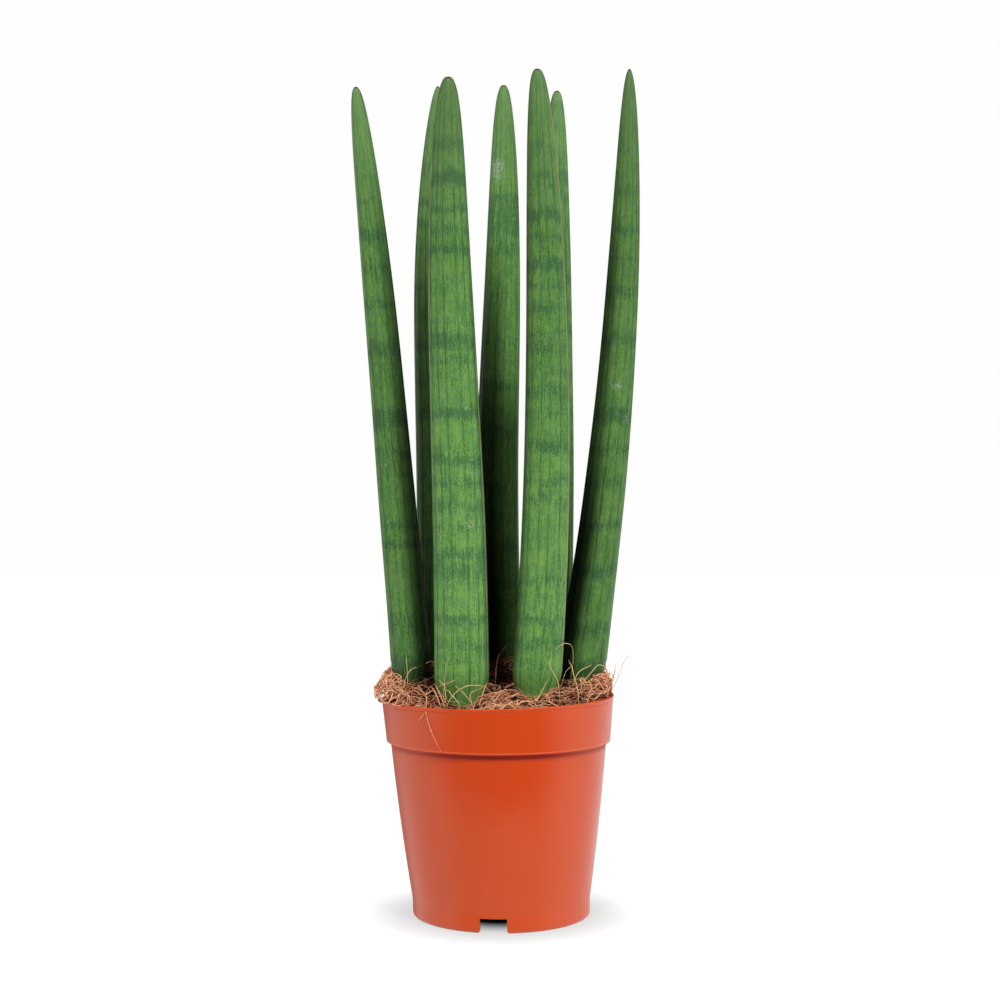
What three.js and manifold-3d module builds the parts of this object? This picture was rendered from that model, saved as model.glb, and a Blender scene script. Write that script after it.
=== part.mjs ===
// A cylindrical snake plant: seven rooted leaf cuttings standing in a plastic grower's pot.
//
// The pot stands on z = 0 with its axis on +Z. The front of the plant faces -Y. Lengths are in millimetres.
// Nodes: the pot, the soil in it, the coir mulch on the soil, and one node for each leaf.

import * as THREE from "three";
import { mergeVertices } from "three/addons/utils/BufferGeometryUtils.js";
import Module from "manifold-3d";

const wasm = await Module();
wasm.setup();

// ---------------------------------------------------------------- driving dimensions

const GAP = 0.3; // clearance between two pieces that touch on the real plant
const POT_STEPS = 64; // sides of the pot
const MOUND_STEPS = 36; // sides of the soil and the coir

const POT = {
  height: 113,
  rimRadius: 60, // outside, at the lip: a 12 cm pot
  footRadius: 45.8, // outside, at the foot ring
  wall: 1.2,
  bandHeight: 22.5, // the straight band below the lip
  bandTaper: 1.8, // how much narrower the band is at its lower edge
  ledgeDepth: 2.4, // step from the band in to the wall
  ledgeHeight: 3.6,
  footHeight: 8, // straight ring below the tapered wall
  footRound: 1,
  footRingWidth: 2.6, // thickness of the ring that the pot stands on
  edgeRound: 0.5, // on the lip and on the band's lower edge
  floorLift: 7, // underside of the floor above the ground
  lipLean: 1.1, // the soft lip stands this much higher on +X and lower on -X
  askew: [0.8, -1.2], // sideways shift of the soft pot at its foot and at its lip
};
// Notches in the foot ring, and drain holes in the floor.
const NOTCH = { count: 3, width: 13.6, height: 7.4, cornerRadius: 1.6, firstDeg: -95 };
const DRAIN = { count: 6, radius: 4, sides: 16, ringRadius: 32, firstDeg: -65 };

// The mound of coir rises from the front to the back, and swells over the rim at the sides and the back.
const MOUND = {
  crown: 121.5, // height on the pot's axis
  slope: 0.2, // rise per millimetre towards +Y
  edgeFrom: 43, // radius where it starts to fall
  edgeTo: 62, // radius of its outer edge, over the rim
  edgeSharpness: 5, // how late it falls between the two
  edgeFront: 108.5, // height of its outer edge at the front, inside the rim
  edgeBack: 113.6, // and from the sides round the back, on the rim
  lumpHeight: 0.9,
};
// The soil lies just under the coir, and falls away inside the rim.
const SOIL = { radius: 57.2, edgeFrom: 40, edgeHeight: 107.5 };
const COIR = {
  felt: 2.6, // thickness of the matted layer over the middle
  strandRadius: 0.62,
  rooted: 1.8, // depth to which the ends of a strand are sunk in the felt
  strands: 32, // that lie on the felt in an arch
  stride: [5.5, 8.5], // least and greatest distance between two points of a strand
  arch: [0.8, 3.2], // height of its middle over the felt
  bend: 0.55, // greatest turn at each point, in radians
  wisps: 9, // strands that stand up free at the edge
  wispHeight: [9, 15],
  wispLean: 8, // outwards, at the tip
  wispSway: 6, // greatest lean to either side
  seed: 20,
};

// Each leaf: where it leaves the soil, its tip, how far its centre line bows sideways half way up, how
// far it sways along +X a quarter of the way up and back again above, its broad and narrow diameters,
// the heading of its broad side in degrees from +X, how blunt its taper is, and how much wider it flares
// at the soil, as a share of its width.
const LEAVES = {
  leaf_front_left: {
    foot: [-19.4, -24, 113],
    tip: [-26, -36, 427],
    bow: [-0.5, -1],
    sway: 1,
    section: { broad: 27.9, narrow: 20.1, heading: -14, taper: 0.35, flare: 0.03 },
  },
  leaf_front_right: {
    foot: [18.1, -20, 115],
    tip: [18.8, -32, 432],
    bow: [5.5, -1],
    sway: 0.3,
    section: { broad: 24.8, narrow: 18.6, heading: 12, taper: 0.35, flare: 0.05 },
  },
  leaf_left: {
    foot: [-44.7, 1, 119],
    tip: [-75.2, 0, 430.5],
    bow: [1.3, 0],
    sway: -0.4,
    section: { broad: 22.5, narrow: 20, heading: 80, taper: 0.37, flare: 0.15 },
  },
  leaf_right: {
    foot: [39.8, 1, 119],
    tip: [68.6, 14, 443.4],
    bow: [6.6, 0],
    sway: 0.1,
    section: { broad: 22.2, narrow: 22.1, heading: 100, taper: 0.47, flare: 0.32 },
  },
  leaf_back_left: {
    foot: [-34, 28, 121],
    tip: [-33.9, 42, 441],
    bow: [-2, 1],
    sway: 2.1,
    section: { broad: 26.3, narrow: 20.8, heading: 45, taper: 0.48, flare: 0 },
  },
  leaf_back_middle: {
    foot: [0.4, 33, 122],
    tip: [2, 48, 443],
    bow: [-1.4, 1],
    sway: -1.3,
    section: { broad: 24.2, narrow: 19.1, heading: 10, taper: 0.37, flare: 0 },
  },
  leaf_back_right: {
    foot: [27.5, 26, 121],
    tip: [31, 40, 438],
    bow: [0.6, 1],
    sway: 0.4,
    section: { broad: 23.6, narrow: 19, heading: -45, taper: 0.36, flare: 0 },
  },
};
const LEAF = {
  buried: 34, // length of the leaf below the soil
  neck: 0.6, // width of the buried butt, as a share of the full width
  neckTop: 13, // height above the soil where the full width is reached
  flareFade: 0.2, // share of the height over which the flare fades
  ribs: 14, // ridges round the leaf, with a furrow between each two
  ribDepth: 0.034, // depth of a furrow, as a share of the radius
  channelDepth: 0.16, // the channel that faces the pot's axis, as a share of the radius
  channelHalfAngle: 0.42, // radians
  blunt: 0.0004, // share of the blade's length left off at the very tip
  bladeRings: 11,
};

const COLOURS = { pot: 0xc4471f, soil: 0x3a2419, coir: 0x9a6a45, leaf: 0x4c8a42 };

// ---------------------------------------------------------------- small helpers

const lerp = THREE.MathUtils.lerp;
const smoothstep = THREE.MathUtils.smoothstep;
const radians = THREE.MathUtils.degToRad;

// A repeatable stream of numbers from 0 to 1.
function randomFrom(seed) {
  let state = seed >>> 0;
  return () => {
    state = (state + 0x6d2b79f5) >>> 0;
    let mixed = Math.imul(state ^ (state >>> 15), 1 | state);
    mixed = (mixed + Math.imul(mixed ^ (mixed >>> 7), 61 | mixed)) ^ mixed;
    return ((mixed ^ (mixed >>> 14)) >>> 0) / 4294967296;
  };
}

// A closed three.js geometry as a manifold-3d solid, turned to face outwards.
function solidOf(geometry) {
  const bare = geometry.index ? geometry.toNonIndexed() : geometry.clone();
  bare.deleteAttribute("normal");
  bare.deleteAttribute("uv");
  const merged = mergeVertices(bare, 1e-4);
  const corners = Array.from(merged.index.array);
  const triVerts = [];
  for (let i = 0; i < corners.length; i += 3) {
    const [a, b, c] = corners.slice(i, i + 3);
    if (a !== b && b !== c && c !== a) triVerts.push(a, b, c);
  }
  const make = (order) =>
    new wasm.Manifold(
      new wasm.Mesh({
        numProp: 3,
        vertProperties: merged.attributes.position.array,
        triVerts: new Uint32Array(order),
      }),
    );
  const solid = make(triVerts);
  return solid.volume() > 0 ? solid : make(triVerts.toReversed());
}

// A manifold-3d solid as a three.js geometry.
function geometryOf(solid) {
  const mesh = solid.getMesh();
  const geometry = new THREE.BufferGeometry();
  geometry.setAttribute("position", new THREE.BufferAttribute(mesh.vertProperties, mesh.numProp));
  geometry.setIndex(new THREE.BufferAttribute(mesh.triVerts, 1));
  geometry.computeVertexNormals();
  return geometry;
}

function pieceOf(name, solid, colour, roughness) {
  const material = new THREE.MeshStandardMaterial({ color: colour, roughness, metalness: 0 });
  const mesh = new THREE.Mesh(geometryOf(solid), material);
  mesh.name = name;
  return mesh;
}

// Moves every vertex of a geometry to move(x, y, z).
function reshape(geometry, move) {
  const at = geometry.attributes.position;
  for (let i = 0; i < at.count; i++) {
    at.setXYZ(i, ...move(at.getX(i), at.getY(i), at.getZ(i)));
  }
  return geometry;
}

// A solid that stands askew as the pot does, shifted along X by an amount that changes with its height.
function askew(solid) {
  const geometry = geometryOf(solid);
  return solidOf(reshape(geometry, (x, y, z) => [x + lerp(...POT.askew, z / POT.height), y, z]));
}

// A profile of [radius, height] points, turned round the Z axis.
function turned(profile, steps = POT_STEPS) {
  const points = profile.map(([radius, height]) => new THREE.Vector2(radius, height));
  return new THREE.LatheGeometry(points, steps).rotateX(Math.PI / 2);
}

// ---------------------------------------------------------------- the pot

const bandFoot = POT.height - POT.bandHeight;
const ledgeFoot = bandFoot - POT.ledgeHeight;
const bandRadius = POT.rimRadius - POT.bandTaper;
const wallTopRadius = bandRadius - POT.ledgeDepth;
const floorTop = POT.floorLift + POT.wall;

// The inside of the pot from the floor up, set in by a clearance.
function insideProfile(clearance) {
  const inset = POT.wall + clearance;
  return [
    [POT.footRadius - inset, floorTop + clearance],
    [wallTopRadius - inset, ledgeFoot],
    [bandRadius - inset, bandFoot],
    [POT.rimRadius - inset, POT.height],
  ];
}

function outsideProfile() {
  return [
    [POT.footRadius, POT.footRound],
    [POT.footRadius, POT.footHeight],
    [wallTopRadius, ledgeFoot],
    [bandRadius - POT.edgeRound, bandFoot - POT.edgeRound],
    [bandRadius, bandFoot + POT.edgeRound],
    [POT.rimRadius, POT.height - POT.edgeRound],
    [POT.rimRadius - POT.edgeRound, POT.height],
  ];
}

// The lip leans a little, fading out at the foot of the band.
function lipLean(x, z) {
  return POT.lipLean * (x / POT.rimRadius) * smoothstep(z, bandFoot, POT.height);
}

function notchCutter(angleDeg) {
  const half = NOTCH.width / 2;
  const round = NOTCH.cornerRadius;
  const outline = new THREE.Shape();
  outline.moveTo(-half - round, -1);
  outline.lineTo(-half - round, 0);
  outline.absarc(-half - round, round, round, -Math.PI / 2, 0, false);
  outline.lineTo(-half, NOTCH.height);
  outline.lineTo(half, NOTCH.height);
  outline.absarc(half + round, round, round, Math.PI, Math.PI * 1.5, false);
  outline.lineTo(half + round, -1);
  const depth = 4 * POT.footRingWidth;
  const cutter = new THREE.ExtrudeGeometry(outline, { depth, bevelEnabled: false, curveSegments: 3 });
  cutter.rotateX(Math.PI / 2);
  cutter.rotateZ(Math.PI / 2);
  cutter.translate(POT.footRadius - depth / 2, 0, 0);
  cutter.rotateZ(radians(angleDeg));
  return solidOf(cutter);
}

function drainCutter(angleDeg) {
  const cutter = new THREE.CylinderGeometry(DRAIN.radius, DRAIN.radius, 3 * POT.wall, DRAIN.sides);
  cutter.rotateX(Math.PI / 2);
  cutter.translate(DRAIN.ringRadius, 0, POT.floorLift + POT.wall / 2);
  cutter.rotateZ(radians(angleDeg));
  return solidOf(cutter);
}

function makePot() {
  const ringInside = POT.footRadius - POT.footRingWidth;
  const shell = turned([
    [0, floorTop],
    ...insideProfile(0),
    ...outsideProfile().toReversed(),
    [POT.footRadius - POT.footRound, 0],
    [ringInside, 0],
    [ringInside, POT.floorLift],
    [0, POT.floorLift],
  ]);
  reshape(shell, (x, y, z) => [x, y, z + lipLean(x, z)]);
  let pot = solidOf(shell);
  for (let i = 0; i < NOTCH.count; i++) {
    pot = pot.subtract(notchCutter(NOTCH.firstDeg + (i * 360) / NOTCH.count));
  }
  for (let i = 0; i < DRAIN.count; i++) {
    pot = pot.subtract(drainCutter(DRAIN.firstDeg + (i * 360) / DRAIN.count));
  }
  return askew(pot);
}

// ---------------------------------------------------------------- the leaves

function leafFrame({ foot, tip, bow, sway, section }) {
  const start = new THREE.Vector3(...foot);
  const rise = new THREE.Vector3(...tip).sub(start);
  const heading = radians(section.heading);
  const broadAxis = new THREE.Vector3(Math.cos(heading), Math.sin(heading), 0);
  const narrowAxis = new THREE.Vector3(-Math.sin(heading), Math.cos(heading), 0);
  if (narrowAxis.dot(start) > 0) narrowAxis.negate(); // it points at the pot's axis
  return { start, rise, bow: new THREE.Vector3(...bow, 0), sway, broadAxis, narrowAxis };
}

// The centre line: share 0 is at the soil, 1 at the tip, and below 0 the leaf runs on straight.
function centreAt({ start, rise, bow, sway }, share) {
  const bowed = share > 0 ? 4 * share * (1 - share) : 4 * share;
  const swayed = share > 0 ? Math.sin(2 * Math.PI * share) : 2 * Math.PI * share;
  const point = start.clone().addScaledVector(rise, share).addScaledVector(bow, bowed);
  point.x += sway * swayed;
  return point;
}

// The leaf's width at a share of its height, as a part of its full width.
function widthAt(section, share, length) {
  const blade = share > 0 ? (1 - share * share) ** section.taper : 1;
  const flare = 1 + section.flare * Math.exp(-Math.max(share, 0) / LEAF.flareFade);
  const necking = smoothstep(share * length, -LEAF.neckTop / 2, LEAF.neckTop);
  return blade * flare * lerp(LEAF.neck, 1, necking);
}

// Ridges, furrows and the channel, as a factor on the radius. An angle of 90 degrees faces the axis.
function sectionFactor(angle, share) {
  const rib = LEAF.ribDepth * (0.5 - 0.5 * Math.cos(LEAF.ribs * angle));
  const fromChannel = Math.abs(angle - Math.PI / 2);
  const channel = LEAF.channelDepth * Math.exp(-((fromChannel / LEAF.channelHalfAngle) ** 2));
  return 1 - rib - channel * (1 - Math.max(share, 0));
}

// Heights of the rings of vertices, close together at the neck and the tip.
function leafStations(length) {
  const below = [-LEAF.buried, -0.45 * LEAF.neckTop, 0.25 * LEAF.neckTop, LEAF.neckTop];
  const stations = below.map((height) => height / length);
  const start = stations.at(-1);
  for (let i = 1; i <= LEAF.bladeRings; i++) {
    const left = (1 - i / LEAF.bladeRings) ** 2;
    stations.push(1 - LEAF.blunt - (1 - LEAF.blunt - start) * left);
  }
  return stations;
}

// A unit cylinder drawn out along the leaf, grown sideways by a clearance.
function makeLeaf(leaf, clearance = 0) {
  const { section } = leaf;
  const frame = leafFrame(leaf);
  const length = frame.rise.length();
  const stations = leafStations(length);
  const rings = stations.length - 1;
  const cylinder = new THREE.CylinderGeometry(1, 1, rings, 2 * LEAF.ribs, rings);
  reshape(cylinder, (x, y, z) => {
    const station = Math.round(y + rings / 2);
    const share = stations[station] - (station === 0 ? clearance / length : 0);
    const angle = Math.atan2(z, x);
    const onAxis = Math.hypot(x, z) < 0.5;
    const size = onAxis ? 0 : widthAt(section, share, length) * sectionFactor(angle, share);
    const grown = onAxis ? 0 : clearance;
    const point = centreAt(frame, share);
    point.addScaledVector(frame.broadAxis, ((section.broad / 2) * size + grown) * Math.cos(angle));
    point.addScaledVector(frame.narrowAxis, ((section.narrow / 2) * size + grown) * Math.sin(angle));
    return point.toArray();
  });
  return solidOf(cylinder);
}

// ---------------------------------------------------------------- soil and coir

// The top of the coir.
function moundHeight(x, y) {
  const beyond = (Math.hypot(x, y) - MOUND.edgeFrom) / (MOUND.edgeTo - MOUND.edgeFrom);
  const edge = THREE.MathUtils.clamp(beyond, 0, 1);
  const lumps = Math.sin(x / 7 + 1) * Math.cos(y / 6 + 2) + 0.6 * Math.sin((x + y) / 4);
  const middle = MOUND.crown + MOUND.slope * y + MOUND.lumpHeight * lumps;
  const rim = lerp(MOUND.edgeFront, MOUND.edgeBack, smoothstep(y, -45, -10));
  return lerp(middle, rim, edge ** MOUND.edgeSharpness);
}

// The top of the soil.
function soilHeight(x, y) {
  const edge = smoothstep(Math.hypot(x, y), SOIL.edgeFrom, SOIL.radius);
  return lerp(moundHeight(x, y) - COIR.felt, SOIL.edgeHeight, edge);
}

const SOIL_RADII = [0, 12, 24, 36, 45, 52, SOIL.radius];
const COIR_RADII = [...SOIL_RADII, 60, MOUND.edgeTo];

// A profile point whose height is one of these numbers lies on that surface of the mound.
const [SOIL_TOP, COIR_UNDER, COIR_TOP] = [0, 1, 2];
const SURFACES = [soilHeight, (x, y) => soilHeight(x, y) + GAP, moundHeight];

function onMound(profile) {
  return reshape(turned(profile, MOUND_STEPS), (x, y, z) => {
    const surface = SURFACES[Math.round(z)];
    return [x, y, surface ? surface(x, y) : z];
  });
}

function makeSoil(leafHoles) {
  const inside = insideProfile(GAP);
  const top = SOIL_RADII.toReversed().map((radius) => [radius, SOIL_TOP]);
  const bed = solidOf(onMound([[0, inside[0][1]], ...inside.slice(0, 3), ...top]));
  return askew(bed).subtract(leafHoles);
}

// A three-sided strand through the points.
function makeStrand(points) {
  const corners = [0, 1, 2].map((i) => {
    const angle = (i * 2 * Math.PI) / 3;
    return new THREE.Vector2(COIR.strandRadius * Math.cos(angle), COIR.strandRadius * Math.sin(angle));
  });
  const extrudePath = new THREE.CatmullRomCurve3(points);
  const options = { steps: points.length, bevelEnabled: false, extrudePath };
  return solidOf(new THREE.ExtrudeGeometry(new THREE.Shape(corners), options));
}

// A strand that lies on the mat in a curve, with both ends sunk in it.
function layStrand(random) {
  const bearing = random() * 2 * Math.PI;
  const reach = MOUND.edgeTo * Math.sqrt(lerp(0.12, 0.93, random()));
  let x = reach * Math.cos(bearing);
  let y = reach * Math.sin(bearing);
  let heading = bearing + Math.PI / 2 + lerp(-0.9, 0.9, random());
  const bend = lerp(-COIR.bend, COIR.bend, random());
  const stride = lerp(...COIR.stride, random());
  const arch = lerp(...COIR.arch, random());
  const points = [-COIR.rooted, 0.7 * arch, arch, 0.6 * arch, -COIR.rooted].map((above) => {
    const outside = Math.max(Math.hypot(x, y) / (MOUND.edgeTo - COIR.rooted), 1);
    x /= outside;
    y /= outside;
    const point = new THREE.Vector3(x, y, moundHeight(x, y) + above);
    x += stride * Math.cos(heading);
    y += stride * Math.sin(heading);
    heading += bend;
    return point;
  });
  return makeStrand(points);
}

// A strand that stands up at the edge and leans out over the rim.
function standWisp(index, random) {
  const bearing = (index + 0.5 * random()) * ((2 * Math.PI) / COIR.wisps);
  const out = new THREE.Vector3(Math.cos(bearing), Math.sin(bearing), 0);
  const along = new THREE.Vector3(-out.y, out.x, 0);
  const foot = out.clone().multiplyScalar(SOIL.radius - 4);
  foot.z = moundHeight(foot.x, foot.y) - COIR.rooted;
  const height = lerp(...COIR.wispHeight, random());
  const sway = lerp(-COIR.wispSway, COIR.wispSway, random());
  const points = [0, 0.35, 0.7, 1].map((share) =>
    foot
      .clone()
      .addScaledVector(out, COIR.wispLean * share * share)
      .addScaledVector(along, sway * share)
      .add(new THREE.Vector3(0, 0, height * Math.sin((share * Math.PI) / 2.2))),
  );
  return makeStrand(points);
}

// Everything under the coir, to cut the strands' sunken ends flush with its underside.
function makeGroundCutter() {
  const wide = POT.rimRadius + 12;
  const surface = [...COIR_RADII, wide].toReversed().map((radius) => [radius, COIR_UNDER]);
  return solidOf(onMound([[0, bandFoot], [wide, bandFoot], ...surface]));
}

// The lip grown by the clearance, and all the room outside it up to its top.
function makeLipCutter() {
  const grown = GAP + 0.05;
  const wide = POT.rimRadius + 20;
  const ring = turned([
    [bandRadius - POT.wall - grown, bandFoot],
    [POT.rimRadius - POT.wall - grown, POT.height + grown],
    [POT.rimRadius + grown, POT.height + grown],
    [wide, POT.height + grown],
    [wide, bandFoot],
    [bandRadius - POT.wall - grown, bandFoot],
  ]);
  return solidOf(reshape(ring, (x, y, z) => [x, y, z + lipLean(x, z)]));
}

function makeCoir(leafHoles) {
  const random = randomFrom(COIR.seed);
  const strands = [];
  for (let i = 0; i < COIR.strands; i++) strands.push(layStrand(random));
  for (let i = 0; i < COIR.wisps; i++) strands.push(standWisp(i, random));
  const tangle = strands.reduce((joined, strand) => joined.add(strand)).subtract(makeGroundCutter());
  const over = COIR_RADII.map((radius) => [radius, COIR_TOP]);
  const under = COIR_RADII.toReversed().map((radius) => [radius, COIR_UNDER]);
  const felt = solidOf(onMound([...over, ...under]));
  const mat = askew(felt.add(tangle).subtract(makeLipCutter())).subtract(leafHoles);
  return mat.decompose().reduce((largest, body) => (body.volume() > largest.volume() ? body : largest));
}

// ---------------------------------------------------------------- the plant

const leafHoles = Object.values(LEAVES)
  .map((leaf) => makeLeaf(leaf, GAP))
  .reduce((joined, hole) => joined.add(hole));

const plant = new THREE.Group();
plant.add(pieceOf("pot", makePot(), COLOURS.pot, 0.38));
plant.add(pieceOf("soil", makeSoil(leafHoles), COLOURS.soil, 0.95));
plant.add(pieceOf("coir_mulch", makeCoir(leafHoles), COLOURS.coir, 0.85));
for (const [name, leaf] of Object.entries(LEAVES)) {
  plant.add(pieceOf(name, makeLeaf(leaf), COLOURS.leaf, 0.45));
}

export default plant;
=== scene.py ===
import math
from types import SimpleNamespace as Values

import bmesh
import bpy
import numpy as np
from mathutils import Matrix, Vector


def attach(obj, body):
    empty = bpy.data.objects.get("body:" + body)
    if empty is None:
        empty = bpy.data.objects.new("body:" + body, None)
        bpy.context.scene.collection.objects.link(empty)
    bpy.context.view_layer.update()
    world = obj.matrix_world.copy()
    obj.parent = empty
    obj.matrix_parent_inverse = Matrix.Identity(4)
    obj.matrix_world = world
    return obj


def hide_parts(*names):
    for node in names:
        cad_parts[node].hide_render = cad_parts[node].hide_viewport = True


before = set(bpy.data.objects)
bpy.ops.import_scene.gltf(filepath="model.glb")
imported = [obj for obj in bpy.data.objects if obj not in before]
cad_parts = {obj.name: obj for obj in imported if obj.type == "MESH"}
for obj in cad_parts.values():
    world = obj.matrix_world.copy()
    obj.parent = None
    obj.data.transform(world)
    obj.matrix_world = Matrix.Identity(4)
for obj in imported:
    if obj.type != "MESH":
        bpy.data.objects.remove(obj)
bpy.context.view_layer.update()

MM = 0.001
SEED = Values(bumps=7, soil=11, coir=12, leaves=100)

# ---- driving dimensions

POT = Values(
    height=113, rim_radius=60, foot_radius=46.1, wall=1.2, band_height=22.5, band_taper=1.8,
    ledge_depth=2.4, ledge_height=3.6, foot_height=8, foot_ring_width=2.6, floor_lift=7,
    lip_lean=1.1, lip_bead=0.45, wall_bulge=0.55, foot_rounding=1.9, askew=(0.8, -1.2), sides=288,
    sharp_deg=32,
)
BAND_FOOT = POT.height - POT.band_height
LEDGE_FOOT = BAND_FOOT - POT.ledge_height
BAND_RADIUS = POT.rim_radius - POT.band_taper
WALL_TOP_RADIUS = BAND_RADIUS - POT.ledge_depth
FLOOR_TOP = POT.floor_lift + POT.wall

NOTCH = Values(count=3, width=13.6, height=7.4, corner=1.6, first_deg=-95)
DRAIN = Values(count=6, radius=4, ring_radius=32, first_deg=-65, depth=4, sides=40)

MOUND = Values(
    crown=121.5, slope=0.2, edge_from=43, edge_to=62, edge_sharpness=5, edge_front=108.5,
    edge_back=113.6, edge_turn=(-45, -10), lump_height=0.9,
)
SOIL = Values(
    radius=57.2, edge_from=40, edge_height=107.5, back_heap=2.2, heap_turn=(0, 40), below_coir=2.6,
    gap=0.3, innermost=0.8, crumb_reach=56, clear_of_leaves=1.1, waves=26, wavelength=(2.2, 9),
    roughness=0.55, sides=200, rings=64,
)

# Heaps and hollows in the coir: (x, y, radius, height).
SWELLS = [
    (-56, 2, 10, 4.0),
    (55, 2, 9, 1.5),
    (-40, -12, 9, -1.8),
    (0, 0, 17, -2.6),
    (-18, -37, 15, -7.0),
    (21, -36, 14, -2.6),
]

# foot and tip of the centre line, its sideways bow and sway, and the section: the broad and narrow
# diameters, the heading of the broad side in degrees from +X, how blunt the taper is, and the flare at the
# soil as a share of the width. The tone is how light the green is at the foot, in the middle and at the tip:
# partly the leaf's own colour and partly painted light and shade. Shades are painted shade on the sides
# that face the other leaves: bearing in degrees from +X, how squarely the skin faces it where the shade
# starts and where it is full, what is left of the light there, its top, and how far below its top it is
# full. Edge reflections are painted reflections, thin pale lines along the leaf: bearing, bottom and top.
LEAVES = {
    "leaf_front_left": Values(
        foot=(-19.4, -24, 113), tip=(-26, -36, 427), bow=(-0.5, -1), sway=1,
        broad=27.9, narrow=20.1, heading=-14, taper=0.35, flare=0.03, tone=(1.42, 1.2, 0.72),
        shades=[(60, 0, 0.6, 0.45, 400, 75), (180, 0.7, 0.98, 0.8, 450, 75), (-10, 0.72, 0.98, 0.6, 345, 60)],
        margins=[(-158, 215, 395), (-20, 120, 300)],
    ),
    "leaf_front_right": Values(
        foot=(18.1, -20, 115), tip=(18.8, -32, 432), bow=(5.5, -1), sway=0.3,
        broad=24.8, narrow=18.6, heading=12, taper=0.35, flare=0.05, tone=(1.38, 0.98, 0.8),
        shades=[(125, 0, 0.6, 0.45, 400, 75), (-170, 0.62, 0.95, 0.7, 450, 60)],
        margins=[(-22, 118, 420)],
    ),
    "leaf_left": Values(
        foot=(-44.7, 1, 119), tip=(-75.2, 0, 430.5), bow=(1.3, 0), sway=-0.4,
        broad=22.5, narrow=20, heading=80, taper=0.37, flare=0.15, tone=(0.97, 0.9, 1),
        shades=[(0, 0.1, 0.7, 0.48, 398, 75), (0, -0.15, 0.35, 0.68, 300, 60)],
        margins=[(-20, 125, 215)],
    ),
    "leaf_right": Values(
        foot=(39.8, 1, 119), tip=(68.6, 14, 443.4), bow=(6.6, 0), sway=0.1,
        broad=22.2, narrow=22.1, heading=100, taper=0.47, flare=0.32, tone=(0.8, 0.86, 0.7),
        shades=[(180, 0.1, 0.76, 0.32, 395, 75), (180, -0.15, 0.55, 0.17, 268, 75)],
        margins=[],
    ),
    "leaf_back_left": Values(
        foot=(-34, 28, 121), tip=(-33.9, 42, 441), bow=(-2, 1), sway=2.1,
        broad=26.3, narrow=20.8, heading=45, taper=0.48, flare=0, tone=(1, 0.62, 1),
        shades=[(-60, -0.2, 0.5, 0.32, 385, 75), (180, 0.6, 0.95, 0.6, 450, 60)],
        margins=[(-160, 120, 320)],
    ),
    "leaf_back_middle": Values(
        foot=(0.4, 33, 122), tip=(2, 48, 443), bow=(-1.4, 1), sway=-1.3,
        broad=24.2, narrow=19.1, heading=10, taper=0.37, flare=0, tone=(1.5, 1.38, 0.95),
        shades=[
            (-155, 0, 0.65, 0.34, 378, 85), (180, 0.5, 0.9, 0.5, 410, 75), (-90, -0.1, 0.4, 0.28, 305, 55),
        ],
        margins=[(-20, 125, 280)],
    ),
    "leaf_back_right": Values(
        foot=(27.5, 26, 121), tip=(31, 40, 438), bow=(0.6, 1), sway=0.4,
        broad=23.6, narrow=19, heading=-45, taper=0.36, flare=0, tone=(1, 1.15, 1.12),
        shades=[(-130, 0, 0.6, 0.4, 380, 75)],
        margins=[],
    ),
}
LEAF = Values(
    buried=34, neck=0.6, neck_top=13, flare_fade=0.2, furrows=14, furrow_depth=0.03,
    furrow_width=0.42, furrow_drift=(0.9, 0.7), rib_crown=0.012, channel_depth=0.16,
    channel_half_angle=0.42, unevenness=0.006, blunt=0.00005, margin_width=0.95, margin_fade=12,
    dry_edge=(26, 4), dry_tip=(2.2, 0.2), dry_sides=(0.62, 0.94), dry_strength=0.75,
    band_shift=0.7, band_share=(0.75, 1.1), band_edge=(-2.5, 4), bloom=(0.72, 1),
    grain_apart=700, crowding=1.7, sides=144, rings=170,
)

# Painted light and shade on the coir, paler and darker patches: (x, y, radius, change of shade).
PAINTED_COIR_LIGHT = [
    (2, -40, 15, 0.15),
    (0, -12, 14, 0.25),
    (-42, -10, 10, -0.5),
    (-26, 4, 14, -0.3),
    (48, -22, 16, -0.2),
]

# height_shade and rim_shade are painted shade: strands lying low in the tangle and near the rim are darker.
COIR = Values(
    reach=57.9, height_shade=0.22, mean_depth=0.4, rim_shade=0.25, rim_ring=(53, 57.5),
    lip_gap=0.15, end_width=0.35, end_share=0.28, stray_points=18, stray_width=0.64,
)

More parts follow.
